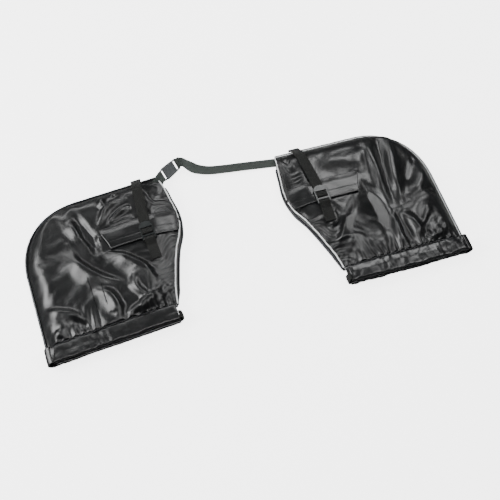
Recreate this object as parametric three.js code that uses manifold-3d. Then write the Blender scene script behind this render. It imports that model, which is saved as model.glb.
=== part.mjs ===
// A pair of handlebar muffs: two flat padded bags that cover the hands on a handlebar, joined by a webbing strap.
// Each bag is closed along its top and outer edges. It is open at the cuff, where the arm goes in, and along its
// inner edge, the mouth, where the handlebar goes in. The bags lie flat, back panel down, +Z up, in millimetres.
// A bag is modelled in its own plane: x runs outwards from the cuff's inner corner, y from the cuff to the top.
import * as THREE from "three";
import { mergeVertices } from "three/addons/utils/BufferGeometryUtils.js";
import Module from "manifold-3d";

// ---------- driving dimensions ----------
const WEB_WIDTH = 25;
const WEB_THICK = 1.4;
const GAP = 0.3; // clearance between pieces that touch on the real object

const LENGTH = 394; // cuff to top edge
const CUFF_WIDTH = 297;
const TOP_FLAT_END = 140; // where the straight top edge turns into the round outer corner
const CORNER_START = 225; // where the outer edge leaves the straight
const CORNER_POWER = 2.2; // 2 would be an ellipse: this corner is a little fuller
// The mouth edge, as [y, x]: it leans out past the cuff corner and is widest at the slot.
const MOUTH_EDGE = [
  [0, 0], [73, -13], [122, -28], [168, -45], [215, -68], [262, -78], [320, -73], [LENGTH, -64],
];

const BINDING = 6; // width of the bound edge
const SEAM = BINDING + 1; // how far in the shells' edges lie under the binding
const HEM = 40; // depth of the cuff hem
const CROWN_ROLL = 45; // distance over which the front panel rises from the seam
const EDGE_Z = 1.6;
const CROWN_Z = 32.5;
const MOUTH_SHARE = 0.58; // height of the front panel at the mouth, as a share of the crown
const CUFF_SHARE = 0.88;
const MOUTH_ROLL = 60;

const SHELL = 1.2;
const LINING = 1.2;
const PADDING = 4.5;
const BACK_PADDING_Z = SHELL + GAP;
const BACK_LINING_Z = BACK_PADDING_Z + PADDING + GAP;

const SLOT_Y = 246; // slot for a lever or mirror stem, from the mouth outwards
const SLOT_WIDTH = 8;
const SLOT_END = 94;
const FLAP_TOP = 276; // the flap is sewn on above the slot and closes below it
const FLAP_BOTTOM = 218;
const FLAP_SPLIT = 24; // outward of here the flap lifts, inward of here the clamp strap holds it
const FLAP_END = 108;
const FLAP_THICK = 1.2;
const TAPE = 1; // thickness of the hook tape and of the loop tape

const STRAP_X = 2.5; // middle of the clamp strap at its lock
const STRAP_TOP_X = -13; // and where it comes over the top edge

const STAGGER = 37; // the right bag lies this much nearer the front
const CORNER_X = 199; // each cuff's inner corner, from the middle
const SPLAY = 2.27; // degrees that each bag is turned out

// ---------- small helpers ----------
const wasm = await Module();
wasm.setup();

const clamp01 = (t) => Math.min(Math.max(t, 0), 1);
const smooth = (t) => clamp01(t) ** 2 * (3 - 2 * clamp01(t));
const quarterRound = (t) => Math.sqrt(1 - (1 - clamp01(t)) ** 2);
const steps = (from, to, count) => Array.from({ length: count + 1 }, (_, i) => from + ((to - from) * i) / count);

// A smooth function through a few [at, value] points.
function curveThrough(points) {
  const slope = (i) => {
    const a = points[Math.max(i - 1, 0)];
    const b = points[Math.min(i + 1, points.length - 1)];
    return (b[1] - a[1]) / (b[0] - a[0]);
  };
  return (at) => {
    const last = points.length - 2;
    const i = Math.min(Math.max(points.findIndex((p) => p[0] > at) - 1, 0), last);
    const k = at >= points[last + 1][0] ? last : i;
    const [a, b] = [points[k], points[k + 1]];
    const h = b[0] - a[0];
    const t = clamp01((at - a[0]) / h);
    return a[1] * (1 - t) ** 2 * (1 + 2 * t) + b[1] * t ** 2 * (3 - 2 * t)
      + h * slope(k) * t * (1 - t) ** 2 - h * slope(k + 1) * t ** 2 * (1 - t);
  };
}

const mouthEdge = curveThrough(MOUTH_EDGE);

// The closed outer edge at a height y, drawn in by an inset.
function outerEdge(y, inset = 0) {
  if (y <= CORNER_START) return CUFF_WIDTH - inset;
  const t = clamp01((y - CORNER_START) / (LENGTH - CORNER_START - inset));
  return TOP_FLAT_END + (CUFF_WIDTH - TOP_FLAT_END - inset) * (1 - t ** CORNER_POWER) ** (1 / CORNER_POWER);
}

// Height of the front shell's underside.
function crown(x, y) {
  const fromTop = quarterRound((LENGTH - BINDING - y) / CROWN_ROLL);
  const rise = fromTop * quarterRound((outerEdge(y, BINDING) - x) / CROWN_ROLL);
  const mouth = MOUTH_SHARE + (1 - MOUTH_SHARE) * smooth((x - mouthEdge(y)) / MOUTH_ROLL);
  const cuff = CUFF_SHARE + (1 - CUFF_SHARE) * smooth((y - HEM) / MOUTH_ROLL);
  return EDGE_Z + (CROWN_Z - EDGE_Z) * rise * mouth * cuff;
}

// A closed geometry from vertices and faces, turned to face outwards.
function closed(vertices, faces) {
  let volume = 0;
  const triangles = faces.flatMap((f) => f.slice(2).map((_, i) => [f[0], f[i + 1], f[i + 2]]));
  for (const [a, b, c] of triangles) volume += vertices[a].dot(vertices[b].clone().cross(vertices[c]));
  const index = triangles.flatMap(([a, b, c]) => (volume > 0 ? [a, b, c] : [a, c, b]));
  const geometry = new THREE.BufferGeometry().setFromPoints(vertices);
  geometry.setIndex(index);
  return geometry;
}

// A sheet between two heights, over a grid of rows in y that run from xIn(y) to xOut(y).
function sheet(rows, columnsAt, zLow, zHigh) {
  const grid = rows.map((y) => columnsAt(y).map((x) => [x, y]));
  const [m, n] = [grid.length, grid[0].length];
  const flat = grid.flat();
  const vertices = [zLow, zHigh].flatMap((z) => flat.map(([x, y]) => new THREE.Vector3(x, y, z(x, y))));
  const at = (layer, j, i) => layer * m * n + j * n + i;
  const faces = [];
  for (let j = 0; j + 1 < m; j++) {
    for (let i = 0; i + 1 < n; i++) {
      faces.push([at(1, j, i), at(1, j, i + 1), at(1, j + 1, i + 1), at(1, j + 1, i)]);
      faces.push([at(0, j, i), at(0, j + 1, i), at(0, j + 1, i + 1), at(0, j, i + 1)]);
    }
  }
  const wall = (j, i, k, l) => faces.push([at(0, j, i), at(0, k, l), at(1, k, l), at(1, j, i)]);
  for (let i = 0; i + 1 < n; i++) {
    wall(0, i, 0, i + 1);
    wall(m - 1, i + 1, m - 1, i);
  }
  for (let j = 0; j + 1 < m; j++) {
    wall(j + 1, 0, j, 0);
    wall(j, n - 1, j + 1, n - 1);
  }
  return closed(vertices, faces);
}

// A section swept along a path. Each section point is [along the side vector, along the normal].
function sweep(path, sides, section) {
  const vertices = [];
  path.forEach((p, i) => {
    const before = p.clone().sub(path[Math.max(i - 1, 0)]).normalize();
    const after = path[Math.min(i + 1, path.length - 1)].clone().sub(p).normalize();
    const along = before.clone().add(after).normalize();
    const side = sides[i].clone().addScaledVector(along, -sides[i].dot(along)).normalize();
    const normal = along.clone().cross(side);
    const bend = i > 0 && i < path.length - 1 ? Math.acos(Math.min(before.dot(after), 1)) : 0;
    for (const [a, b] of section) {
      vertices.push(p.clone().addScaledVector(side, a).addScaledVector(normal, b / Math.cos(bend / 2)));
    }
  });
  const n = section.length;
  const ring = (i) => section.map((_, k) => i * n + k);
  const faces = [ring(0).reverse(), ring(path.length - 1)];
  for (let i = 0; i + 1 < path.length; i++) {
    for (let k = 0; k < n; k++) {
      const l = (k + 1) % n;
      faces.push([i * n + k, i * n + l, (i + 1) * n + l, (i + 1) * n + k]);
    }
  }
  return closed(vertices, faces);
}

const rectangle = (w, h) => [[-w / 2, -h / 2], [w / 2, -h / 2], [w / 2, h / 2], [-w / 2, h / 2]];
const round = (r, count) =>
  steps(0, 2 * Math.PI, count).slice(0, -1).map((a) => [r * Math.cos(a), r * Math.sin(a)]);
const WEBBING = rectangle(WEB_WIDTH, WEB_THICK);

// A box from its lowest to its highest corner.
function box(x0, y0, z0, x1, y1, z1) {
  const g = new THREE.BoxGeometry(x1 - x0, y1 - y0, z1 - z0);
  return g.translate((x0 + x1) / 2, (y0 + y1) / 2, (z0 + z1) / 2);
}

// Joins and cuts of closed geometries.
function toSolid(geometry) {
  const bare = geometry.clone();
  bare.deleteAttribute("normal");
  bare.deleteAttribute("uv");
  const merged = mergeVertices(bare, 1e-4);
  const triVerts = new Uint32Array(merged.index.array);
  const vertProperties = merged.attributes.position.array;
  return new wasm.Manifold(new wasm.Mesh({ numProp: 3, vertProperties, triVerts }));
}

function toGeometry(solid) {
  const m = solid.getMesh();
  const positions = new Float32Array(m.numVert * 3);
  for (let i = 0; i < m.numVert; i++) {
    positions.set(m.vertProperties.subarray(i * m.numProp, i * m.numProp + 3), i * 3);
  }
  const g = new THREE.BufferGeometry().setAttribute("position", new THREE.BufferAttribute(positions, 3));
  return g.setIndex(new THREE.BufferAttribute(new Uint32Array(m.triVerts), 1));
}

const join = (...parts) => toGeometry(parts.map(toSolid).reduce((a, b) => a.add(b)));
const cut = (from, ...tools) => toGeometry(tools.map(toSolid).reduce((a, b) => a.subtract(b), toSolid(from)));

// ---------- materials ----------
const looks = (color, roughness, metalness = 0) =>
  new THREE.MeshStandardMaterial({ color, roughness, metalness });
const NYLON = looks(0x2b2e31, 0.35);
const FLEECE = looks(0x3a3c3f, 0.95);
const WADDING = looks(0xd8d8d2, 0.95);
const WEB = looks(0x23261f, 0.8);
const TAPE_LOOK = looks(0x191a1b, 0.9);
const REFLECTIVE = looks(0xc9cdcc, 0.4);
const RUBBER = looks(0x1c1c1c, 0.85);
const PLASTIC = looks(0x3c4143, 0.4);

function piece(name, geometry, material) {
  const mesh = new THREE.Mesh(geometry, material.clone());
  mesh.name = name;
  return mesh;
}

// ---------- one bag ----------
// All the panels share one grid. Its columns are shares of the width, and both crowd towards the closed edges,
// where the front panel is steepest. The filling stops short of the seams, so it uses fewer rows and columns.
const ROWS = [HEM + GAP, 84, 128, 172, 214, 248, 282, 308, 332, 352, 367, 378, 384, LENGTH - SEAM];
const COLUMNS = [0, 0.06, 0.12, 0.18, 0.34, 0.51, 0.68, 0.82, 0.91, 0.96, 0.985, 1];
const FLAT_COLUMNS = [0, 0.5, 1];
const FILL_ROWS = 10;
const FILL_COLUMNS = 10;

function panel(rows, columns, zLow, zHigh) {
  const across = (y) => columns.map((s) => mouthEdge(y) + s * (outerEdge(y, SEAM) - mouthEdge(y)));
  return sheet(rows, across, zLow, zHigh);
}

const shellPanel = (zLow, zHigh, columns = COLUMNS) => panel(ROWS, columns, zLow, zHigh);
const fillPanel = (zLow, zHigh) => panel(ROWS.slice(0, FILL_ROWS), COLUMNS.slice(0, FILL_COLUMNS), zLow, zHigh);
const flatFill = (z, thick) => panel(ROWS.slice(0, FILL_ROWS), [0.008, 0.5, 0.96], flatAt(z), flatAt(z + thick));

const flatAt = (z) => () => z;
const above = (offset) => (x, y) => crown(x, y) + offset;

function slotted(geometry) {
  const half = SLOT_WIDTH / 2;
  return cut(geometry, box(-100, SLOT_Y - half, -10, SLOT_END, SLOT_Y + half, 80));
}

// Points along the mouth edge, moved outwards and set at a height.
function mouthLine(from, to, count, out, z) {
  return steps(from, to, count).map((y) => new THREE.Vector3(mouthEdge(y) - out, y, z(mouthEdge(y), y)));
}

function tube(path, section) {
  return sweep(path, path.map(() => new THREE.Vector3(0, 0, 1)), section);
}

// The closed edge, from the mouth's top corner round to the cuff.
function closedEdge(inset, topCount, cornerCount) {
  const top = LENGTH - inset;
  const points = steps(mouthEdge(LENGTH), TOP_FLAT_END, topCount).map((x) => new THREE.Vector3(x, top, 0));
  for (const a of steps(0, Math.PI / 2, cornerCount).slice(1)) {
    const reachX = CUFF_WIDTH - TOP_FLAT_END - inset;
    const reachY = top - CORNER_START;
    const e = 2 / CORNER_POWER;
    const x = TOP_FLAT_END + reachX * Math.sin(a) ** e;
    points.push(new THREE.Vector3(x, CORNER_START + reachY * Math.max(Math.cos(a), 0) ** e, 0));
  }
  points.push(new THREE.Vector3(CUFF_WIDTH - inset, HEM + GAP, 0));
  return points;
}

const MOUTH_CORD = 2.6; // how far outside the mouth edge its piping runs
const FRONT_HEM_Z = [17.2, 30.6];
const BACK_HEM_Z = [0, 10];
const HEM_INNER_X = -1;
const HEM_OUTER_X = 284;
const ELASTIC = [30, 1.5];

// A cuff hem is a flattened tube of cloth, with its elastic inside.
function hem([low, high]) {
  const half = (high - low) / 2;
  const outline = new THREE.Shape();
  outline.moveTo(half, low);
  outline.lineTo(HEM - half, low);
  outline.absarc(HEM - half, low + half, half, -Math.PI / 2, Math.PI / 2, false);
  outline.lineTo(half, high);
  outline.absarc(half, low + half, half, Math.PI / 2, (3 * Math.PI) / 2, false);
  const tunnel = new THREE.Path();
  const [w, h] = [ELASTIC[0] / 2 + GAP, ELASTIC[1] / 2 + GAP];
  const corners = [[-w, -h], [w, -h], [w, h], [-w, h]];
  tunnel.setFromPoints(corners.map(([y, z]) => new THREE.Vector2(HEM / 2 + y, low + half + z)));
  outline.holes.push(tunnel);
  const depth = HEM_OUTER_X - HEM_INNER_X;
  const g = new THREE.ExtrudeGeometry(outline, { depth, bevelEnabled: false, curveSegments: 4 });
  // The profile's axes become y and z, and the extrusion runs along x.
  return g.applyMatrix4(new THREE.Matrix4().set(0, 0, 1, HEM_INNER_X, 1, 0, 0, 0, 0, 1, 0, 0, 0, 0, 0, 1));
}

function elastic([low, high]) {
  const [y, z] = [HEM / 2, (low + high) / 2];
  const [w, h] = [ELASTIC[0] / 2, ELASTIC[1] / 2];
  return box(HEM_INNER_X + 4, y - w, z - h, HEM_OUTER_X - 4, y + w, z + h);
}

// Cloth that turns from the back hem up to the front hem at one end of the cuff.
function hemTurn(x, reach, y0, y1) {
  const [low, high] = [BACK_HEM_Z[0] + 0.5, FRONT_HEM_Z[1] - 0.5];
  const middle = (low + high) / 2;
  const half = (high - low) / 2;
  const arc = steps(-Math.PI / 2, Math.PI / 2, 10);
  const ring = (shrink) => arc.map((a) => {
    const out = (reach - Math.sign(reach) * shrink) * Math.cos(a);
    return new THREE.Vector2(x + out, middle + (half - shrink) * Math.sin(a));
  });
  const outline = new THREE.Shape([...ring(0), ...ring(3).reverse()]);
  const g = new THREE.ExtrudeGeometry(outline, { depth: y1 - y0, bevelEnabled: false });
  // The profile's axes become x and z, and the extrusion runs along -y, down from y1.
  return g.applyMatrix4(new THREE.Matrix4().set(1, 0, 0, 0, 0, 0, -1, y1, 0, 1, 0, 0, 0, 0, 0, 1));
}

// The flap over the slot. Its upper edge is sewn to the shell and it steps up over the tapes below.
const flapLow = (x, y) => crown(x, y) + SHELL + 2 * GAP + (2 * TAPE + 2 * GAP) * smooth((FLAP_TOP - y) / 18);
const flapHigh = (x, y) => flapLow(x, y) + FLAP_THICK;
const FLAP_ROWS = [FLAP_BOTTOM, 238, 257, 261, 265, 269, 273, FLAP_TOP];

function flapInner() {
  const shares = [0.004, 0.06, 0.12, 0.18];
  const across = (y) => shares.map((s) => mouthEdge(y) + s * (outerEdge(y, SEAM) - mouthEdge(y)));
  return sheet(FLAP_ROWS, (y) => [...across(y), FLAP_SPLIT - GAP], flapLow, flapHigh);
}

function flapEnd() {
  const end = (y) => FLAP_END - 13 * smooth((FLAP_TOP - y) / (FLAP_TOP - FLAP_BOTTOM));
  return sheet(FLAP_ROWS, (y) => [FLAP_SPLIT + GAP, end(y)], flapLow, flapHigh);
}

const TAPE_BOTTOM = 220;
const TAPE_TOP = 236;

function tape(from, to, offset) {
  return sheet([TAPE_BOTTOM, TAPE_TOP], () => [from, to], above(SHELL + offset), above(SHELL + offset + TAPE));
}

// ---------- clamp strap, lock and anchor ----------
// Heights and places are [y, z] down the strap: over the top edge, along the bag, under the lock's lip and its
// middle bar, up and back over that bar, and out under the lip again as a tail on top of the strap.
const STRAP_ROUTE = [
  [397, 1.4], [398.8, 5.5], [396.8, 10.5], [389, 17], [380, 23.6], [370, 29.6], [358, 34], [340, 37], [320, 38.3],
  [288, 38.3], [279, 39], [240, 39], [228, 39], [224.9, 39.9], [224.4, 42.3], [225.9, 44.3], [230.6, 44.9],
  [235.4, 44.2], [237.2, 42.5], [239.6, 41.05], [244, 40.75], [279, 40.75], [288, 40.05], [320, 40.05],
  [340, 38.75], [354, 36.9],
];
const LOCK_LIP_END = 254;

function strapPoint([y, z]) {
  const share = clamp01((y - LOCK_LIP_END) / (LENGTH - LOCK_LIP_END));
  return new THREE.Vector3(STRAP_X + (STRAP_TOP_X - STRAP_X) * share, y, z);
}

function webbingAlong(points) {
  return sweep(points, points.map(() => new THREE.Vector3(1, 0, 0)), WEBBING);
}

const ANCHOR_ROUTE = [
  [158, 34.8], [190, 34.8], [197, 35.6], [204, 38], [208, 39.1], [213.4, 39.2], [214.8, 40.6], [214.8, 43],
  [213.6, 44.3], [209, 44.4], [205.4, 42.6], [199, 39], [191, 36.7], [158, 36.5],
];

const LOCK = {
  half: 16, rail: 2.6, low: 38.6, high: 43.5, barLow: 40.4, barHigh: 43.2, end: 208.9, lip: 240.6,
};
const LOCK_PIVOT = [210.7, 41.8]; // middle of the end bar, in y and z

function ladderLock() {
  const inner = LOCK.half - LOCK.rail;
  const rail = (x) => box(x, LOCK.end, LOCK.low, x + LOCK.rail, 246, LOCK.high);
  const bar = (y0, y1) => box(-inner - 1, y0, LOCK.barLow, inner + 1, y1, LOCK.barHigh);
  const lip = new THREE.Shape();
  lip.moveTo(-LOCK.half, LOCK.lip);
  lip.lineTo(LOCK.half, LOCK.lip);
  lip.lineTo(LOCK.half, 245);
  lip.quadraticCurveTo(LOCK.half - 2, 255, 0, 256);
  lip.quadraticCurveTo(-LOCK.half + 2, 255, -LOCK.half, 245);
  const plate = new THREE.ExtrudeGeometry(lip, { depth: 2.4, bevelEnabled: false, curveSegments: 6 });
  plate.translate(0, 0, 42.1);
  const endBar = new THREE.CylinderGeometry(1.6, 1.6, 2 * inner + 2, 10);
  endBar.rotateZ(Math.PI / 2).translate(0, ...LOCK_PIVOT);
  const body = join(rail(-LOCK.half), rail(inner), bar(217.6, 221.6), bar(227.5, 234), plate, endBar);
  return body.translate(STRAP_X, 0, 0);
}

function bag(side) {
  const group = new THREE.Group();
  const add = (name, geometry, material) => group.add(piece(`${side}_${name}`, geometry, material));

  add("back_shell", shellPanel(flatAt(0), flatAt(SHELL), FLAT_COLUMNS), NYLON);
  add("back_padding", flatFill(BACK_PADDING_Z, PADDING), WADDING);
  add("back_lining", flatFill(BACK_LINING_Z, LINING), FLEECE);

  const paddingTop = -GAP;
  const liningTop = paddingTop - PADDING - GAP;
  add("front_lining", slotted(fillPanel(above(liningTop - LINING), above(liningTop))), FLEECE);
  add("front_padding", slotted(fillPanel(above(paddingTop - PADDING), above(paddingTop))), WADDING);
  add("front_shell", slotted(shellPanel(above(0), above(SHELL))), NYLON);

  const inside = -BINDING / 2 + GAP;
  const bead = [[0.3, inside], [4.2, inside], [4.7, 0], [4.2, BINDING / 2], [0.3, BINDING / 2]];
  add("edge_binding", tube(closedEdge(BINDING / 2, 3, 12), bead), NYLON);
  const edgeCord = round(1, 5).map(([a, b]) => [a + 6.1, b]);
  add("edge_piping", tube(closedEdge(BINDING / 2, 3, 12), edgeCord), REFLECTIVE);

  const cord = round(1.5, 6);
  const frontHeight = above(SHELL / 2);
  const mouthCord = (from, to, count, height) => tube(mouthLine(from, to, count, MOUTH_CORD, height), cord);
  add("mouth_piping_upper", mouthCord(SLOT_Y + 6, LENGTH - 10, 8, frontHeight), REFLECTIVE);
  add("mouth_piping_lower", mouthCord(HEM + 4, SLOT_Y - 6, 9, frontHeight), REFLECTIVE);
  add("mouth_piping_back", mouthCord(HEM + 4, LENGTH - 44, 10, flatAt(2.2)), REFLECTIVE);

  add("cuff_hem_front", hem(FRONT_HEM_Z), NYLON);
  add("cuff_hem_back", hem(BACK_HEM_Z), NYLON);
  add("cuff_elastic_front", elastic(FRONT_HEM_Z), RUBBER);
  add("cuff_elastic_back", elastic(BACK_HEM_Z), RUBBER);
  add("cuff_side_turn", hemTurn(HEM_OUTER_X + GAP, 14, 1, HEM - 1), NYLON);
  add("cuff_corner_tack", hemTurn(HEM_INNER_X - GAP, -9, 4, 20), WEB);

  add("slot_flap", flapInner(), NYLON);
  add("slot_flap_end", flapEnd(), NYLON);
  add("flap_hook_tape", tape(FLAP_SPLIT + 5, 90, 2 * GAP + TAPE), TAPE_LOOK);
  add("flap_loop_tape", tape(FLAP_SPLIT + 3, 92, GAP), TAPE_LOOK);

  add("clamp_strap", webbingAlong(STRAP_ROUTE.map(strapPoint)), WEB);
  add("strap_anchor", webbingAlong(ANCHOR_ROUTE.map(([y, z]) => new THREE.Vector3(STRAP_X, y, z))), WEB);
  add("ladder_lock", ladderLock(), PLASTIC);

  const mirror = side === "left" ? -1 : 1;
  group.scale.x = mirror;
  group.rotation.z = THREE.MathUtils.degToRad(-SPLAY * mirror);
  group.position.set(CORNER_X * mirror, side === "left" ? 0 : -STAGGER, 0);
  return group;
}

// ---------- side-release buckle and joining strap ----------
// The buckle's own frame: x along it from the left bag to the right, y across its width, z through its thickness.
// The origin is the mouth of the socket.
const BUCKLE = { width: 32, thick: 9, wall: 1.6, deep: 25, rearBar: 37, plugBar: 15, bar: 1.75 };

function socket() {
  const { width, thick, wall, deep, rearBar, bar } = BUCKLE;
  const half = width / 2;
  const outline = new THREE.Shape();
  outline.moveTo(0, -half + 1);
  outline.lineTo(0, half - 1);
  outline.lineTo(-deep, half);
  outline.lineTo(-rearBar - bar, half - 2);
  outline.lineTo(-rearBar - bar, -half + 2);
  outline.lineTo(-deep, -half);
  const shell = new THREE.ExtrudeGeometry(outline, { depth: thick, bevelEnabled: false });
  shell.translate(0, 0, -thick / 2);
  const cavity = box(-deep + 2, -half + 2.6, -thick / 2 + wall, 1, half - 2.6, thick / 2 - wall);
  const window = (y0, y1) => box(-deep + 3, y0, -thick / 2 + wall, -9, y1, thick / 2 - wall);
  const webSlot = box(-rearBar + bar, -half + 3, -thick, -deep - 2, half - 3, thick);
  const thinTail = (z0, z1) => box(-rearBar - 5, -half - 1, z0, -deep - 3, half + 1, z1);
  const windows = [window(-half - 1, -half + 4), window(half - 4, half + 1)];
  return cut(shell, cavity, ...windows, webSlot, thinTail(1.8, 9), thinTail(-9, -1.8));
}

function plug() {
  const { width, plugBar, bar } = BUCKLE;
  const half = width / 2;
  const base = box(GAP, -half + 1, -4, 6, half - 1, 4);
  const rail = (y0) => box(5, y0, -1.75, plugBar + bar, y0 + 2.4, 1.75);
  const outerBar = new THREE.CylinderGeometry(bar, bar, width - 4, 10).translate(plugBar, 0, 0);
  const tongue = box(-19, -3, -1.5, 1, 3, 1.5);
  return join(base, rail(-half + 1), rail(half - 3.4), outerBar, tongue);
}

// A prong with its barb, which stands out in the socket's side window.
function prong(side) {
  const outline = new THREE.Shape();
  outline.moveTo(0, 7.2);
  outline.lineTo(0, 10.2);
  outline.lineTo(-10.5, 11.2);
  outline.lineTo(-10.5, 14.6);
  outline.quadraticCurveTo(-15, 15.4, -20, 10.6);
  outline.lineTo(-20, 8.6);
  const g = new THREE.ExtrudeGeometry(outline, { depth: 4.4, bevelEnabled: false, curveSegments: 5 });
  g.translate(0, 0, -2.2);
  return side < 0 ? g.rotateX(Math.PI) : g;
}

const BUCKLE_AT = new THREE.Vector3(-104, 400, 17.5);
const BUCKLE_HEADING = 29; // degrees from the row's x axis
const BUCKLE_ROLL = 55; // degrees about its own length: the far edge is up

const buckleMatrix = new THREE.Matrix4()
  .makeRotationZ(THREE.MathUtils.degToRad(BUCKLE_HEADING))
  .multiply(new THREE.Matrix4().makeRotationX(THREE.MathUtils.degToRad(BUCKLE_ROLL)))
  .setPosition(BUCKLE_AT);
const inBuckle = (x, y, z) => new THREE.Vector3(x, y, z).applyMatrix4(buckleMatrix);
const acrossBuckle = new THREE.Vector3(0, 1, 0).transformDirection(buckleMatrix);

// The strap between the bags: a loop round the plug's bar, doubled back, then a single run to the right bag.
const JOINING_END = new THREE.Vector3(145, 341.2, 2.2);
const JOINING_TURN = 0.164; // how far its last straight points towards the front, in radians
const joiningHeading = new THREE.Vector3(Math.cos(JOINING_TURN), -Math.sin(JOINING_TURN), 0);
const joiningSide = new THREE.Vector3(Math.sin(JOINING_TURN), Math.cos(JOINING_TURN), 0);

function joiningStrap() {
  const ring = BUCKLE.bar + GAP + WEB_THICK / 2 + 0.1;
  const roundBar = (a) => inBuckle(BUCKLE.plugBar - ring * Math.cos(a), 0, ring * Math.sin(a));
  const loop = steps(-0.62 * Math.PI, 0.62 * Math.PI, 8).map(roundBar);
  const tail = [[27, -0.9], [22, -1.2]].map(([x, z]) => inBuckle(x, 0, z));
  const twist = [[-76, 407, 17.5], [-68, 399, 15.5], [-58, 388, 13.5], [-46, 379, 11.5], [-20, 368.5, 9]];
  const flat = [[20, 361, 7], [58, 355.5, 5.5], [95.7, 349.4, 4]];
  const run = [...twist, ...flat].map((p) => new THREE.Vector3(...p));
  const path = [...tail, ...loop, inBuckle(22, 0, 1.4), ...run, JOINING_END];
  const turnFrom = tail.length + loop.length;
  const turned = (i) => acrossBuckle.clone().lerp(joiningSide, smooth((i - turnFrom) / 6)).normalize();
  const sides = path.map((_, i) => turned(i));
  return sweep(path, sides, WEBBING);
}

// The strap's sewn end, inside the right bag's mouth.
function joiningStrapEnd() {
  const path = [1, 12, 26].map((d) => JOINING_END.clone().addScaledVector(joiningHeading, d));
  return sweep(path, path.map(() => joiningSide), WEBBING);
}

// The loop that holds the socket: two layers of webbing from inside the left bag's mouth, round the socket's bar.
function socketLoop() {
  const ring = Math.SQRT2 * BUCKLE.bar + GAP + WEB_THICK / 2 + 0.8;
  const roundBar = (a) => inBuckle(-BUCKLE.rearBar + ring * Math.cos(a), 0, ring * Math.sin(a));
  const arc = steps(-0.5 * Math.PI, 0.5 * Math.PI, 6).map(roundBar);
  const low = [[-190, 367, 2.6], [-168, 367.5, 3.6], [-154, 369.5, 6.4]].map((p) => new THREE.Vector3(...p));
  const high = [[-154, 370, 8.8], [-168, 368, 5.9], [-190, 367.5, 4.5]].map((p) => new THREE.Vector3(...p));
  const path = [...low, inBuckle(-43, 0, -2), ...arc, inBuckle(-43, 0, 2), ...high];
  const flatSide = new THREE.Vector3(0, 1, 0);
  const middle = (path.length - 1) / 2;
  const turn = (i) => smooth((Math.abs(i - middle) - 4) / 2);
  const sides = path.map((_, i) => acrossBuckle.clone().lerp(flatSide, turn(i)).normalize());
  return sweep(path, sides, WEBBING);
}

function inPlace(name, geometry, material) {
  return piece(name, geometry.applyMatrix4(buckleMatrix), material);
}

// ---------- the pair ----------
const pair = new THREE.Group();
pair.add(
  bag("left"),
  bag("right"),
  inPlace("buckle_socket", socket(), PLASTIC),
  inPlace("buckle_plug", plug(), PLASTIC),
  inPlace("buckle_prong_far", prong(1), PLASTIC),
  inPlace("buckle_prong_near", prong(-1), PLASTIC),
  piece("socket_loop", socketLoop(), WEB),
  piece("joining_strap", joiningStrap(), WEB),
  piece("joining_strap_end", joiningStrapEnd(), WEB),
);

// The origin is the middle of the base of the box round the pair.
const bounds = new THREE.Box3().setFromObject(pair);
const middle = bounds.getCenter(new THREE.Vector3());
pair.position.set(-middle.x, -middle.y, -bounds.min.z);

export default pair;
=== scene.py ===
"""A pair of padded nylon handlebar muffs, lying flat and joined by a webbing strap with a buckle."""
import math

import bpy
import numpy as np
from mathutils import Matrix, Vector


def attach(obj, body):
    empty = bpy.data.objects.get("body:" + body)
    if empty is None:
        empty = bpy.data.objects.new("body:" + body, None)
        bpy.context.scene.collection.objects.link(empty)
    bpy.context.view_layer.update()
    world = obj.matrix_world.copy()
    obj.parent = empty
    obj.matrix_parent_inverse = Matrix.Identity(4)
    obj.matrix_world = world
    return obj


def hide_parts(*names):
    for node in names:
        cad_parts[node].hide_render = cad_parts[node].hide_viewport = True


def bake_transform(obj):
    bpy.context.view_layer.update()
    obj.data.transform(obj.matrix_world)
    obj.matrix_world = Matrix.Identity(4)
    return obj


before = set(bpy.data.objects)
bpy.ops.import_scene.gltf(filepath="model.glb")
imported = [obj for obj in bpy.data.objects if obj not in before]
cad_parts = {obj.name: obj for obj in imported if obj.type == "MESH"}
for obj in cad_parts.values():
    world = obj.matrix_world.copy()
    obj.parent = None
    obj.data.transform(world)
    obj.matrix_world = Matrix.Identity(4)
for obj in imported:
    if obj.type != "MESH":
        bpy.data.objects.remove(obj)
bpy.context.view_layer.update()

# ---------- the CAD model's driving dimensions, in millimetres ----------
LENGTH, CUFF_WIDTH, HEM = 394, 297, 40
TOP_FLAT_END, CORNER_START, CORNER_POWER = 140, 225, 2.2
MOUTH_EDGE = [(0, 0), (73, -13), (122, -28), (168, -45), (215, -68), (262, -78), (320, -73), (LENGTH, -64)]
BINDING, EDGE_Z, CROWN_Z, CROWN_ROLL = 6, 1.6, 32.5, 45
MOUTH_SHARE, CUFF_SHARE, MOUTH_ROLL, ROLL_POWER = 0.58, 0.88, 60, 2.1
SLOT_Y, FLAP_TOP, FLAP_BOTTOM, FLAP_SPLIT, FLAP_END = 246, 276, 218, 24, 108
STRAP_X, STRAP_TOP_X, LOCK_LIP_END, WEB_WIDTH, WEB_THICK = 2.5, -13, 254, 25, 1.4
CORNER_X, STAGGER, SPLAY = 199, 37, math.radians(2.27)
PAIR_SHIFT_Y = -186.139
EDGE_SLACK = 1.2  # how far the nylon lies outside the CAD shell's underside
# One millimetre, in metres.
MM = 0.001
# Every muff has its own seeds for the noise on its panels, back, edge, cuff and flap.
SEEDS = {"left": {"panel": 11, "back": 41, "edge": 71, "cuff": 101, "flap": 151},
         "right": {"panel": 23, "back": 57, "edge": 83, "cuff": 131, "flap": 163}}


def clamp01(t):
    return np.clip(t, 0, 1)


def smooth(t):
    t = clamp01(t)
    return t * t * (3 - 2 * t)


def quarter_round(t):
    return np.sqrt(1 - (1 - clamp01(t)) ** 2)


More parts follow.
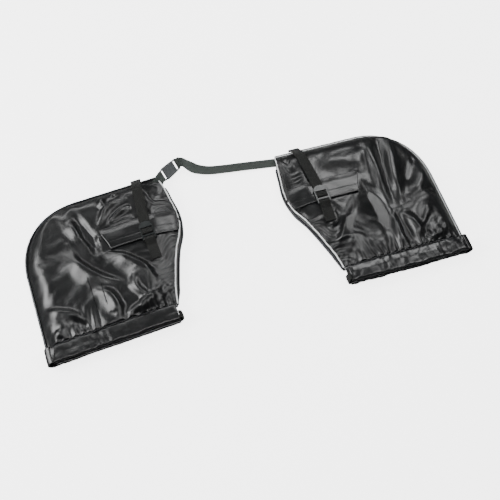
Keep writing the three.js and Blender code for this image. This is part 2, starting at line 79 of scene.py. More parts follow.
def curve_through(points):
    at, value = np.array(points, float).T
    slope = np.gradient(value, at)
    slope[1:-1] = (value[2:] - value[:-2]) / (at[2:] - at[:-2])

    def f(x):
        x = np.asarray(x, float)
        k = np.clip(np.searchsorted(at, x, side="right") - 1, 0, len(at) - 2)
        h = at[k + 1] - at[k]
        t = clamp01((x - at[k]) / h)
        return (value[k] * (1 - t) ** 2 * (1 + 2 * t) + value[k + 1] * t ** 2 * (3 - 2 * t)
                + h * slope[k] * t * (1 - t) ** 2 - h * slope[k + 1] * t ** 2 * (1 - t))
    return f


mouth_edge = curve_through(MOUTH_EDGE)


def outer_edge(y, inset=0.0):
    t = clamp01((np.asarray(y, float) - CORNER_START) / (LENGTH - CORNER_START - inset))
    reach = (1 - t ** CORNER_POWER) ** (1 / CORNER_POWER)
    round_part = TOP_FLAT_END + (CUFF_WIDTH - TOP_FLAT_END - inset) * reach
    return np.where(np.asarray(y) <= CORNER_START, CUFF_WIDTH - inset, round_part)


def seam_distances(x, y):
    """How far in from the top seam and the outer seam a point is, as a share of the roll's width."""
    return (LENGTH - BINDING - y) / CROWN_ROLL, (outer_edge(y, BINDING) - x) / CROWN_ROLL


def panel_height(x, y, rise):
    """The panel's height where its seams would let it rise by this share: lower at the mouth and the cuff."""
    mouth = MOUTH_SHARE + (1 - MOUTH_SHARE) * smooth((x - mouth_edge(y)) / MOUTH_ROLL)
    cuff = CUFF_SHARE + (1 - CUFF_SHARE) * smooth((y - HEM) / MOUTH_ROLL)
    return EDGE_Z + (CROWN_Z - EDGE_Z) * rise * mouth * cuff


def crown(x, y):
    """Height of the CAD front shell's underside."""
    top, outer = seam_distances(x, y)
    return panel_height(x, y, quarter_round(top) * quarter_round(outer))


def cover_rest(x, y):
    """Height of the padded panel's outside before it is folded: a softer roll to the seam than the CAD's."""
    top, outer = seam_distances(x, y)
    rise = (1 - (1 - clamp01(top)) ** ROLL_POWER) * (1 - (1 - clamp01(outer)) ** ROLL_POWER)
    return panel_height(x, y, rise) + EDGE_SLACK


def to_row(side, points):
    """Points in a muff's own plane, in millimetres, to the row frame in metres."""
    p = np.asarray(points, float).reshape(-1, 3)
    m = -1 if side == "left" else 1
    c, s = math.cos(-SPLAY * m), math.sin(-SPLAY * m)
    x, y = p[:, 0] * m, p[:, 1]
    drop = 0 if side == "left" else STAGGER
    return np.stack([x * c - y * s + CORNER_X * m, x * s + y * c - drop + PAIR_SHIFT_Y, p[:, 2]], 1) * MM


# ---------- noise ----------
def value_noise(x, y, cell, seed):
    """Smooth noise from -1 to 1 with features of the size of cell."""
    size = 64
    table = np.random.default_rng(seed).uniform(-1, 1, (size, size))
    u, v = np.asarray(x) / cell, np.asarray(y) / cell
    i, j = np.floor(u).astype(int), np.floor(v).astype(int)
    a, b = smooth(u - i), smooth(v - j)

    def at(p, q):
        return table[p % size, q % size]
    low = at(i, j) * (1 - a) + at(i + 1, j) * a
    high = at(i, j + 1) * (1 - a) + at(i + 1, j + 1) * a
    return low * (1 - b) + high * b


# ---------- meshes ----------
def new_object(name, vertices, faces, material):
    mesh = bpy.data.meshes.new(name)
    mesh.from_pydata([tuple(v) for v in vertices], [], faces)
    mesh.validate()
    mesh.update()
    mesh.polygons.foreach_set("use_smooth", [True] * len(mesh.polygons))
    obj = bpy.data.objects.new(name, mesh)
    bpy.context.scene.collection.objects.link(obj)
    mesh.materials.append(material)
    return obj


def face_out(obj):
    """Turns a closed mesh's faces outwards."""
    mesh = obj.data
    co = np.zeros(len(mesh.vertices) * 3)
    mesh.vertices.foreach_get("co", co)
    co = co.reshape(-1, 3)
    mesh.calc_loop_triangles()
    t = np.array([list(l.vertices) for l in mesh.loop_triangles])
    volume = np.einsum("ij,ij->i", co[t[:, 0]], np.cross(co[t[:, 1]], co[t[:, 2]])).sum()
    if volume < 0:
        mesh.flip_normals()
    return obj


def grid_faces(m, n, start=0, flip=False):
    faces = []
    for j in range(m - 1):
        for i in range(n - 1):
            near, far = start + j * n + i, start + (j + 1) * n + i
            q = [near, near + 1, far + 1, far]
            faces.append(q[::-1] if flip else q)
    return faces


def closed_sheet(name, top, bottom, material):
    """A closed sheet from two equal grids of points, (rows, columns, 3)."""
    m, n = top.shape[:2]
    vertices = np.concatenate([top.reshape(-1, 3), bottom.reshape(-1, 3)])
    faces = grid_faces(m, n) + grid_faces(m, n, m * n, flip=True)
    rim = ([(0, i) for i in range(n)] + [(j, n - 1) for j in range(1, m)]
           + [(m - 1, i) for i in range(n - 2, -1, -1)] + [(j, 0) for j in range(m - 2, 0, -1)])
    for (a, b), (c, d) in zip(rim, rim[1:] + rim[:1]):
        k, l = a * n + b, c * n + d
        faces.append([l, k, m * n + k, m * n + l])
    return face_out(new_object(name, vertices, faces, material))


def grid_normals(p):
    across = np.gradient(p, axis=1)
    along = np.gradient(p, axis=0)
    n = np.cross(across, along)
    n /= np.maximum(np.linalg.norm(n, axis=2, keepdims=True), 1e-9)
    return n * np.sign(n[..., 2:3] + 1e-12)


def arc_lengths(path):
    """How far along a path each of its points lies."""
    return np.concatenate([[0], np.cumsum(np.linalg.norm(np.diff(path, axis=0), axis=1))])


def resample(points, step):
    """Even points along a smooth curve through the given ones."""
    p = np.asarray(points, float)
    dense = [p[0]]
    for i in range(len(p) - 1):
        a, b, c, d = p[max(i - 1, 0)], p[i], p[i + 1], p[min(i + 2, len(p) - 1)]
        for t in np.linspace(0, 1, 17)[1:]:
            dense.append(0.5 * (2 * b + (c - a) * t + (2 * a - 5 * b + 4 * c - d) * t ** 2
                                + (3 * b - a - 3 * c + d) * t ** 3))
    dense = np.array(dense)
    s = arc_lengths(dense)
    at = np.linspace(0, s[-1], max(int(s[-1] / step), 2) + 1)
    return np.stack([np.interp(at, s, dense[:, k]) for k in range(3)], 1)


def ring_faces(start, count):
    """The faces between one ring of points and the next."""
    return [[start + i, start + (i + 1) % count, start + count + (i + 1) % count, start + count + i]
            for i in range(count)]


def swept(name, path, sides, section, material, scale=None):
    """A closed section, [side, normal], swept along a path, all in metres. Its map is in millimetres."""
    path = np.asarray(path, float)
    tangent = np.gradient(path, axis=0)
    tangent /= np.linalg.norm(tangent, axis=1, keepdims=True)
    sides = np.broadcast_to(np.asarray(sides, float), path.shape).copy()
    sides -= tangent * np.sum(sides * tangent, axis=1, keepdims=True)
    sides /= np.linalg.norm(sides, axis=1, keepdims=True)
    normal = np.cross(tangent, sides)
    section = np.asarray(section, float)
    k, count = len(section), len(path)
    grow = np.ones((count, 2)) if scale is None else np.asarray(scale, float)
    vertices = (path[:, None] + sides[:, None] * (section[None, :, :1] * grow[:, None, :1])
                + normal[:, None] * (section[None, :, 1:] * grow[:, None, 1:])).reshape(-1, 3)
    faces = [list(range(k))[::-1], [(count - 1) * k + i for i in range(k)]]
    for j in range(count - 1):
        faces += ring_faces(j * k, k)
    obj = new_object(name, vertices, faces, material)
    length = arc_lengths(path)
    layer = obj.data.uv_layers.new(name="Web")
    for poly in obj.data.polygons:
        for li in poly.loop_indices:
            v = obj.data.loops[li].vertex_index
            layer.data[li].uv = (section[v % k][0] / MM, length[v // k] / MM)
    return face_out(obj)


def web_section(width, thick, edge=0.45):
    """A strap's cross-section: flat, with rounded edges."""
    w, t = width / 2, thick / 2
    flat = [(x, -t) for x in np.linspace(-w + edge, w - edge, 9)]
    half = flat + [(w - 0.1, -t * 0.6), (w, 0), (w - 0.1, t * 0.6)]
    # The other half is the same one turned round.
    turned = [(-x, -z) for x, z in flat] + [(-w + 0.1, t * 0.6), (-w, 0), (-w + 0.1, -t * 0.6)]
    return np.array(half + turned)


def round_section(radius, count=12):
    a = np.linspace(0, 2 * math.pi, count, endpoint=False)
    return np.stack([np.cos(a), np.sin(a)], 1) * radius


# ---------- materials ----------
class Nodes:
    """Builds one node material."""

    def __init__(self, name, **sockets):
        self.material = bpy.data.materials.new(name)
        self.material.use_nodes = True
        self.tree = self.material.node_tree
        self.shader = self.tree.nodes["Principled BSDF"]
        for key, value in sockets.items():
            self.shader.inputs[key.replace("_", " ")].default_value = value

    def add(self, kind, inputs=None, **settings):
        node = self.tree.nodes.new(kind)
        for key, value in settings.items():
            setattr(node, key, value)
        for key, value in (inputs or {}).items():
            if isinstance(value, bpy.types.NodeSocket):
                self.tree.links.new(value, node.inputs[key])
            else:
                node.inputs[key].default_value = value
        return node

    def position(self, scale=(1, 1, 1), rotation=0.0, uv=None):
        if uv:
            source = self.add("ShaderNodeUVMap", uv_map=uv).outputs[0]
        else:
            source = self.add("ShaderNodeTexCoord").outputs["Object"]
        inputs = {"Vector": source, "Scale": scale, "Rotation": (0, 0, rotation)}
        return self.add("ShaderNodeMapping", inputs).outputs[0]

    def noise(self, scale, detail=3.0, rough=0.55, vector=None):
        inputs = {"Vector": vector or self.position(), "Scale": scale, "Detail": detail, "Roughness": rough}
        return self.add("ShaderNodeTexNoise", inputs).outputs["Fac"]

    def wave(self, vector, scale, direction="X", profile="SIN"):
        inputs = {"Vector": vector, "Scale": scale, "Distortion": 0.0, "Detail": 0.0}
        return self.add("ShaderNodeTexWave", inputs, wave_type="BANDS", bands_direction=direction,
                        wave_profile=profile).outputs["Fac"]

    def math(self, operation, a, b=0.0, c=0.0):
        return self.add("ShaderNodeMath", {0: a, 1: b, 2: c}, operation=operation).outputs[0]

    def ramp(self, value, stops):
        node = self.add("ShaderNodeValToRGB", {"Fac": value})
        elements = node.color_ramp.elements
        for _ in range(len(stops) - 2):
            elements.new(0.5)
        for element, (at, color) in zip(elements, stops):
            element.position = at
            element.color = (*color, 1) if isinstance(color, tuple) else (color, color, color, 1)
        return node.outputs["Color"]

    def bump(self, height, distance, strength=1.0, below=None):
        node = self.add("ShaderNodeBump", {"Height": height, "Distance": distance, "Strength": strength})
        if below is not None:
            self.tree.links.new(below, node.inputs["Normal"])
        return node.outputs["Normal"]

    def drive(self, socket, value):
        self.tree.links.new(value, self.shader.inputs[socket])


def shade_of(color, share):
    return tuple(c * share for c in color)


def nylon(name, light=0.003, rough=0.315, angle=0.0):
    """Satin nylon: a fine plain weave, with small creases and scuffs."""
    m = Nodes(name, Specular_IOR_Level=0.62, Sheen_Weight=0.03, Sheen_Roughness=0.4)
    weave_at = m.position(rotation=angle)
    warp = m.wave(weave_at, 1500, "X")
    weft = m.wave(weave_at, 1500, "Y")
    weave = m.math("MAXIMUM", warp, weft)
    slub = m.noise(900, 2, vector=m.position((1, 0.06, 1), angle))
    crumple = m.noise(60, 3, 0.5)
    fine = m.noise(260, 3, 0.6)
    shade = m.noise(18, 3)
    dark = (light * 0.8, light * 0.92, light * 0.98)
    lit = (light * 1.4, light * 1.6, light * 1.75)
    m.drive("Base Color", m.ramp(shade, [(0.3, dark), (0.75, lit)]))
    m.drive("Roughness", m.math("MULTIPLY_ADD", m.noise(40, 5), 0.14, rough - 0.07))
    low = m.bump(weave, 0.00006, 0.5)
    low = m.bump(slub, 0.00008, 0.5, low)
    low = m.bump(fine, 0.0004, 0.3, low)
    m.drive("Normal", m.bump(crumple, 0.0012, 0.2, low))
    return m.material


def webbing(name, color, rough=0.62):
    """Flat webbing: chevron ribs along the strap with a plain edge."""
    m = Nodes(name, Specular_IOR_Level=0.25, Sheen_Weight=0.05, Sheen_Roughness=0.5)
    at = m.position(uv="Web")
    ribs = m.wave(at, 0.62, "X")
    picks = m.wave(at, 0.5, "DIAGONAL")
    threads = m.math("MULTIPLY", ribs, m.math("MULTIPLY_ADD", picks, 0.5, 0.5))
    fuzz = m.noise(900, 3)
    shade = m.math("MULTIPLY_ADD", fuzz, 0.4, m.math("MULTIPLY", threads, 0.6))
    dark, lit = shade_of(color, 0.65), shade_of(color, 1.3)
    m.drive("Base Color", m.ramp(shade, [(0.15, dark), (0.8, lit)]))
    m.drive("Roughness", m.math("MULTIPLY_ADD", fuzz, 0.2, rough - 0.1))
    m.drive("Normal", m.bump(threads, 0.0004, 0.8, m.bump(fuzz, 0.0002, 0.5)))
    return m.material


def knit(name, color):
    """Brushed lining."""
    m = Nodes(name, Roughness=0.95, Sheen_Weight=0.5, Sheen_Roughness=0.6, Specular_IOR_Level=0.2)
    pile = m.noise(1400, 4, 0.7)
    clump = m.noise(160, 3)
    shade = m.math("MULTIPLY_ADD", clump, 0.5, m.math("MULTIPLY", pile, 0.5))
    m.drive("Base Color", m.ramp(shade, [(0.2, shade_of(color, 0.6)), (0.8, shade_of(color, 1.4))]))
    m.drive("Normal", m.bump(shade, 0.001, 0.7))
    return m.material


def tape_cloth(name, color):
    """Woven binding tape with fine cross ribs."""
    m = Nodes(name, Roughness=0.75, Specular_IOR_Level=0.2, Sheen_Weight=0.03, Sheen_Roughness=0.5)
    at = m.position(uv="Web")
    ribs = m.wave(at, 0.9, "Y")
    fuzz = m.noise(700, 3)
    shade = m.math("MULTIPLY_ADD", fuzz, 0.5, m.math("MULTIPLY", ribs, 0.5))
    m.drive("Base Color", m.ramp(shade, [(0.1, shade_of(color, 0.6)), (0.9, shade_of(color, 1.3))]))
    m.drive("Normal", m.bump(ribs, 0.0003, 0.7, m.bump(fuzz, 0.0003, 0.4)))
    return m.material


def reflective(name, color):
    """Silver piping: glass-bead cloth, slightly scuffed."""
    m = Nodes(name, Metallic=0.05, Specular_IOR_Level=0.6)
    beads = m.noise(2600, 2, 0.7)
    scuff = m.noise(60, 4)
    m.drive("Base Color", m.ramp(scuff, [(0.3, shade_of(color, 0.8)), (0.6, color)]))
    m.drive("Roughness", m.math("MULTIPLY_ADD", scuff, 0.3, 0.25))
    m.drive("Normal", m.bump(beads, 0.0002, 0.6))
    return m.material


def moulded(name, color, rough=0.38):
    """Moulded plastic with a faint grain, its sharp edges painted lighter in patches as a painted highlight.
    """
    m = Nodes(name, Specular_IOR_Level=0.5)
    grain = m.noise(1800, 2, 0.6)
    patches = m.noise(120, 4)
    # Sharp edges are painted lighter, broken up in patches: a painted highlight.
    edge = m.add("ShaderNodeNewGeometry").outputs["Pointiness"]
    edge_highlight = m.math("MULTIPLY", m.ramp(edge, [(0.52, 0.0), (0.6, 1.0)]), patches)
    highlight_color = [min(c * 1.5 + 0.01, 1) for c in color]
    base = m.add("ShaderNodeMix", {"Factor": edge_highlight, "A": (*color, 1), "B": (*highlight_color, 1)}, data_type="RGBA")
    m.drive("Base Color", base.outputs["Result"])
    m.drive("Roughness", m.math("MULTIPLY_ADD", patches, 0.2, rough - 0.1))
    m.drive("Normal", m.bump(grain, 0.0001, 0.5))
    return m.material


def hook_tape(name, color, scale):
    """Hook-and-loop tape: a field of small hooks or loops."""
    m = Nodes(name, Roughness=0.85, Sheen_Weight=0.3, Specular_IOR_Level=0.25)
    cells = m.add("ShaderNodeTexVoronoi", {"Scale": scale, "Vector": m.position()}).outputs["Distance"]
    m.drive("Base Color", m.ramp(cells, [(0.0, shade_of(color, 1.8)), (0.7, color)]))
    m.drive("Normal", m.bump(cells, 0.0006, -0.8))
    return m.material


NYLON = nylon("nylon")
# The right cuff's nylon: the same cloth with its weave turned across, and a lighter colour that is painted
# light.
NYLON_CROSS_LIT = nylon("nylon_cross_lit", light=0.004, rough=0.3, angle=0.8)
LINING = knit("lining", (0.045, 0.048, 0.052))
WEB = webbing("strap_webbing", (0.0042, 0.0048, 0.0038))
GREY_WEB = webbing("grey_webbing", (0.05, 0.06, 0.054))
BINDING_TAPE = tape_cloth("binding_tape", (0.008, 0.009, 0.0095))
SILVER = reflective("silver_piping", (0.8, 0.82, 0.82))
# The silver piping painted dark, as painted shade, for the cords that catch little light: the left muff's
# edge cord and the back cords at the mouths.
SHADED_PIPING = reflective("shaded_piping", (0.1, 0.11, 0.115))
THREAD = tape_cloth("thread", (0.02, 0.022, 0.024))
PLASTIC = moulded("lock_plastic", (0.014, 0.0165, 0.0165), 0.3)
BUCKLE = moulded("buckle_plastic", (0.045, 0.05, 0.052), 0.5)
HOOKS = hook_tape("hooks", (0.012, 0.012, 0.013), 900)
LOOPS = hook_tape("loops", (0.02, 0.02, 0.022), 420)
TACK_TAPE = tape_cloth("tack_tape", (0.012, 0.013, 0.012))


# ---------- the camera, the light and the floor ----------
VIEW_AZIMUTH, VIEW_ELEVATION, VIEW_DISTANCE = math.radians(-18.8), math.radians(62), 1.6388
VIEW_TARGET = Vector((0.0064, -0.0597, 0.0))


def look_from(azimuth, elevation):
    level = math.cos(elevation)
    return Vector((math.sin(azimuth) * level, -math.cos(azimuth) * level, math.sin(elevation)))


def aim(obj, target):
    obj.rotation_euler = (Vector(target) - obj.location).to_track_quat("-Z", "Y").to_euler()


camera_data = bpy.data.cameras.new("camera")
camera_data.lens, camera_data.sensor_width = 50, 36
camera_data.clip_start, camera_data.clip_end = 0.05, 30
camera = bpy.data.objects.new("camera", camera_data)
bpy.context.scene.collection.objects.link(camera)
camera.location = VIEW_TARGET + look_from(VIEW_AZIMUTH, VIEW_ELEVATION) * VIEW_DISTANCE
aim(camera, VIEW_TARGET)
bpy.context.scene.camera = camera


def softbox(name, location, size, power, target=(0, 0, 0)):
    data = bpy.data.lights.new(name, "AREA")
    data.shape, data.size, data.size_y, data.energy = "RECTANGLE", size[0], size[1], power
    light = bpy.data.objects.new(name, data)
    bpy.context.scene.collection.objects.link(light)
    light.location = location
    aim(light, target)
    return light


# Name, place, size, power and aim of each softbox.
LIGHTS = [
    ("left_light", (-1.9, 0.5, 1.35), (1.3, 1.0), 52, (-0.2, 0, 0)),
    ("left_low_light", (-2.2, 0.25, 0.62), (1.2, 0.5), 16, (-0.2, 0, 0)),
    ("back_light", (-0.5, 2.1, 1.35), (1.8, 0.5), 22, (0, 0, 0)),
    ("right_light", (1.7, -0.3, 2.1), (1.0, 1.0), 22, (0.2, 0, 0)),
    ("front_light", (-0.1, -0.8, 2.2), (1.0, 0.45), 16, (0, 0, 0)),
    ("right_back_light", (0.95, 1.05, 1.6), (0.7, 0.7), 15, (0.3, 0, 0)),
]
for light in LIGHTS:
    softbox(*light)

world = bpy.data.worlds.new("studio")
world.use_nodes = True
world.node_tree.nodes["Background"].inputs[0].default_value = (1, 1, 1, 1)
world.node_tree.nodes["Background"].inputs[1].default_value = 0.06
bpy.context.scene.world = world

floor_material = Nodes("floor", Base_Color=(0.95, 0.95, 0.95, 1), Roughness=0.85, Specular_IOR_Level=0.1,
                       Emission_Color=(1, 1, 1, 1), Emission_Strength=3.5)
FLOOR_REACH, FLOOR_Z = 8, -0.0008
BACKDROP_RADIUS, BACKDROP_HEIGHT, BACKDROP_SIDES = 7.9, 5.0, 64
corners = [(-FLOOR_REACH, -FLOOR_REACH), (FLOOR_REACH, -FLOOR_REACH), (FLOOR_REACH, FLOOR_REACH),
           (-FLOOR_REACH, FLOOR_REACH)]
floor = new_object("floor", [(x, y, FLOOR_Z) for x, y in corners], [[0, 1, 2, 3]], floor_material.material)
turns = [2 * math.pi * k / BACKDROP_SIDES for k in range(BACKDROP_SIDES)]
backdrop = new_object("backdrop", [(BACKDROP_RADIUS * math.cos(a), BACKDROP_RADIUS * math.sin(a), z)
                                   for z in (FLOOR_Z, BACKDROP_HEIGHT) for a in turns],
                      ring_faces(0, BACKDROP_SIDES), floor_material.material)
# The floor and backdrop aren't mirrored in the nylon, and the backdrop puts no light on the muffs.
floor.visible_glossy = False
backdrop.visible_diffuse = backdrop.visible_glossy = backdrop.visible_shadow = False


# ---------- the front panel: laid folds, then cloth ----------
# A fold is a crest or a valley along a smooth line: its height and half-widths on each side, in millimetres.
FOLDS = {
    "left": [
        ([(136, 250), (71, 272), (14, 283)], 6, 11, 8),
        ([(108, 284), (74, 326), (20, 346)], 6, 9, 7),
        ([(92, 282), (46, 306), (10, 318)], 6, 8, 6),
        ([(78, 370), (80, 326)], 5, 10, 7),
        ([(58, 372), (40, 356)], 4, 9, 7),
        ([(152, 344), (143, 292), (131, 256), (122, 206)], -8, 9, 12),
        ([(172, 330), (158, 292), (146, 262)], 5, 16, 9),
        ([(118, 214), (73, 192), (42, 157), (14, 100)], 9, 24, 8),
        ([(186, 262), (174, 208), (138, 160), (92, 126)], 8, 28, 9),
        ([(60, 146), (64, 104), (44, 66)], 5, 11, 8),
        ([(108, 42), (66, 62), (4, 84)], 8, 18, 9),
        ([(164, 136), (128, 104), (118, 62), (136, 42)], 8, 18, 10),
        ([(288, 124), (243, 106), (208, 80), (202, 40)], 7, 24, 9),
        ([(234, 92), (200, 60), (188, 38)], -6, 16, 10),
        ([(262, 74), (250, 40)], 5, 10, 9),
    ],
    "right": [
        ([(160, 376), (156, 300), (152, 230), (150, 165)], 7, 28, 11),
        ([(190, 376), (182, 300), (170, 210), (162, 140)], -9, 12, 13),
        ([(220, 366), (206, 290), (188, 210), (174, 150)], 8, 13, 26),
        ([(262, 310), (242, 246), (206, 192)], -6, 12, 18),
        ([(286, 256), (252, 204), (202, 160)], 6, 16, 18),
        ([(103, 250), (125, 198), (134, 140), (130, 56)], -8, 11, 26),
        ([(86, 212), (58, 160), (32, 118), (36, 62)], 8, 30, 15),
        ([(148, 350), (126, 300), (112, 262)], 4, 14, 24),
        ([(163, 152), (162, 100), (168, 34)], -10, 10, 12),
        ([(180, 144), (190, 90), (198, 38)], 7, 10, 18),
        ([(146, 144), (142, 90), (140, 38)], 7, 20, 10),
        ([(250, 164), (220, 104), (212, 46)], 7, 14, 14),
        ([(236, 120), (208, 74), (186, 38)], -7, 10, 10),
        ([(282, 98), (238, 60), (190, 36)], 6, 12, 12),
        ([(-24, 116), (4, 108), (34, 138), (36, 176)], 7, 9, 10),
        ([(-8, 152), (14, 160), (20, 200)], -6, 9, 9),
        ([(16, 340), (70, 318), (134, 322)], 3, 30, 22),
        ([(244, 192), (286, 168)], -5, 14, 14),
    ],
}
PANEL_TOP = LENGTH - BINDING + 1.5
ROWS, COLUMNS = 116, 116
BACK_ROWS, BACK_COLUMNS = 60, 60
BACK_LIP = {"left": 7.0, "right": 2.5}  # how far the back panel shows past the front one at the mouth
FOLD_SCALE = {"left": 1.7, "right": 1.75}
CLOTH_FRAMES = 30
CLOTH_CAP = 9 * MM
# How firmly the wadding under the panel, and the strap over it, hold the cloth to its laid shape.
HOLD, STRAP_HOLD = 0.09, 0.6
CLOTH_GROWTH, CLOTH_PRESSURE = 0.011, 0.1
COVER_THICK = 0.9


def fold_height(x, y, line, height, width_a, width_b):
    """Height of one fold at every point. It fades out towards both of its ends."""
    p = resample([(a, b, 0) for a, b in line], 3)
    p = p[:, :2]
    d = np.stack([x, y], -1)[..., None, :] - p
    near = np.argmin((d ** 2).sum(-1), -1)
    tangent = np.gradient(p, axis=0)[near]
    away = np.take_along_axis(d, near[..., None, None], -2)[..., 0, :]
    cross = tangent[..., 0] * away[..., 1] - tangent[..., 1] * away[..., 0]
    distance = np.sqrt((away ** 2).sum(-1))
    width = np.where(cross > 0, width_a, width_b)
    along = near / (len(p) - 1)
    fade = smooth(along / 0.4) * smooth((1 - along) / 0.4) * 0.9 + 0.1
    return height * fade * np.exp(-(distance / width) ** 2)


def panel_plan(rows, columns):
    """The panel's grid in plan: rows run from the cuff to the top seam, columns from the mouth outwards."""
    y = HEM + 0.5 + (PANEL_TOP - HEM - 0.5) * np.linspace(0, 1, rows) ** 0.96
    u = np.linspace(0, 1, columns)
    y2 = np.repeat(y[:, None], columns, 1)
    inner, outer = mouth_edge(y2), outer_edge(y2, BINDING - 1.5)
    return inner + (outer - inner) * u[None, :], y2


def edge_distance(x, y):
    """Rough distances to the cuff seam, the mouth edge and the closed seam."""
    seam = np.minimum(outer_edge(y, BINDING) - x, LENGTH - BINDING - y)
    return y - HEM, (x - mouth_edge(y)) * 0.95, seam


def laid_height(side, x, y):
    """How far the laid folds, gathers and puckers lift the cloth."""
    cuff, mouth, seam = edge_distance(x, y)
    seed = SEEDS[side]["panel"]
    warp = value_noise(x, y, 38, seed) * 7
    wave = value_noise(x, y, 60, seed + 1) * 6
    inside = smooth((seam - 3) / 22)
    folds = FOLD_SCALE[side] * sum(fold_height(x + warp * 0.35, y + wave * 0.35, *f) for f in FOLDS[side])
    z = folds * inside * smooth((cuff - 1) / 14)
    # Gathers along the cuff seam, drawn up by its elastic.
    beat = 1 + 0.45 * value_noise(x, y * 0.2, 55, seed + 2)
    gather = np.sin(2 * np.pi * (x + warp) / 21 * beat)
    z += 3.2 * gather * smooth(cuff / 4) * np.exp(-clamp01(cuff / 200) * 8)
    # Short folds across the mouth edge, where its piping is drawn tight.
    drawn = np.sin(2 * np.pi * (y + wave + 0.35 * mouth) / 24 * (1 + 0.25 * value_noise(y, x, 45, seed + 3)))
    z += 2.6 * drawn * np.exp(-mouth / 34) * smooth((cuff - 4) / 20) * smooth(seam / 20)
    # Puckers along the closed seam.
    pucker = value_noise(x, y, 11, seed + 4) + 0.6 * value_noise(x, y, 6, seed + 5)
    around = np.arctan2(y - 150, x - 90) * 190
    tuck = np.abs(value_noise(around, seam * 0.15, 8, seed + 7))
    z += (0.6 * pucker - 2.6 * tuck + 0.6) * np.exp(-seam / 11) * smooth(seam / 5)
    z += 1.3 * value_noise(x, y, 46, seed + 6) * inside
    return z


def settle_cloth(name, points, pinned, expand, pressure):
    """Runs cloth on a grid of points, in metres, and returns where it comes to rest."""
    m, n = points.shape[:2]
    obj = new_object(name, points.reshape(-1, 3), grid_faces(m, n), NYLON)
    group = obj.vertex_groups.new(name="pin")
    flat = pinned.reshape(-1)
    for weight in np.unique(np.round(flat, 2)):
        if weight > 0:
            group.add([int(i) for i in np.flatnonzero(np.round(flat, 2) == weight)], float(weight), "REPLACE")
    cloth = obj.modifiers.new("cloth", "CLOTH")
    s = cloth.settings
    s.quality, s.mass = 6, 0.25
    s.tension_stiffness = s.compression_stiffness = 18
    s.shear_stiffness, s.bending_stiffness = 6, 2.5
    s.tension_damping = s.compression_damping = 12
    s.shear_damping, s.bending_damping, s.air_damping = 8, 1.2, 4
    s.vertex_group_mass = "pin"
    s.pin_stiffness = 2
    s.shrink_min = s.shrink_max = -expand
    s.use_pressure, s.uniform_pressure_force = True, pressure
    s.effector_weights.gravity = 0
    cloth.collision_settings.use_collision = False
    cloth.collision_settings.use_self_collision = False
    scene = bpy.context.scene
    scene.frame_start, scene.frame_end = 1, CLOTH_FRAMES
    cloth.point_cache.frame_start, cloth.point_cache.frame_end = 1, CLOTH_FRAMES
    for f in range(1, CLOTH_FRAMES + 1):
        scene.frame_set(f)
    settled = obj.evaluated_get(bpy.context.evaluated_depsgraph_get()).data
    co = np.zeros(len(settled.vertices) * 3)
    settled.vertices.foreach_get("co", co)
    co = co.reshape(m, n, 3)
    bpy.data.objects.remove(obj)
    scene.frame_set(1)
    return co


def soften_grid(grid, passes=2):
    """Evens out a grid of vectors from cell to cell."""
    weights = np.array([1, 4, 6, 4, 1]) / 16
    for _ in range(passes):
        for axis in (0, 1):
            pad = [(0, 0)] * grid.ndim
            pad[axis] = (2, 2)
            wide = np.pad(grid, pad, mode="edge")
            count = grid.shape[axis]
            grid = sum(w * np.take(wide, range(k, k + count), axis) for k, w in enumerate(weights))
    return grid


def front_surface(side):
    """The outside of the front panel, (rows, columns, 3) in millimetres in the muff's own plane."""
    x, y = panel_plan(ROWS, COLUMNS)
    rest = cover_rest(x, y)
    z = rest + laid_height(side, x, y)
    start = np.stack([x, y, z], -1)
    pinned = np.full(x.shape, HOLD)
    pinned[:, -2:] = pinned[-2:, :] = 1
    pinned[:2, :] = 1
    pinned[:, :2] = 1
    under_strap = (np.abs(x - STRAP_X) < 16) & (y > 215)
    pinned[under_strap] = STRAP_HOLD
    co = settle_cloth(side + "_cloth", start * MM, pinned, CLOTH_GROWTH, CLOTH_PRESSURE) / MM
    move = soften_grid(co - start)
    size = np.linalg.norm(move, axis=-1, keepdims=True)
    cap = CLOTH_CAP / MM
    result = start + move * np.where(size > cap, cap / np.maximum(size, 1e-9), 1)
    # The cloth stays under the strap and its flap, and over the hand space.
    limit = np.where((np.abs(x - STRAP_X) < 20) & (y > 150) & (y < 350), rest + 0.2, rest + 13)
    under_flap = (y > FLAP_BOTTOM - 3) & (y < FLAP_TOP + 2) & (x < FLAP_END + 3)
    limit = np.where(under_flap, rest + 0.1, limit)
    over = result[..., 2] - limit
    result[..., 2] = np.where(over > 0, limit + 0.15 * np.tanh(over / 3), result[..., 2])
    floor_z = np.maximum(rest - 7.5, EDGE_Z + EDGE_SLACK)
    result[..., 2] = np.maximum(result[..., 2], np.minimum(floor_z, rest))
    return result, rest


panel_surface = {}  # the finished front panel of each muff


def sewn_on(piece, side, slot, *nodes):
    """A finished piece of this muff, which stands for any CAD nodes named."""
    if nodes:
        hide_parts(*nodes)
    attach(piece, side + "_muff")


def cover(piece, side, node):
    """A finished cover panel."""
    sewn_on(piece, side, "nylon", side + node)


def lining(side, name, top, low, nodes):
    """The padded lining behind a cover."""
    liner = closed_sheet(side + name, to_grid(side, top), to_grid(side, low), LINING)
    sewn_on(liner, side, "lining", *nodes)


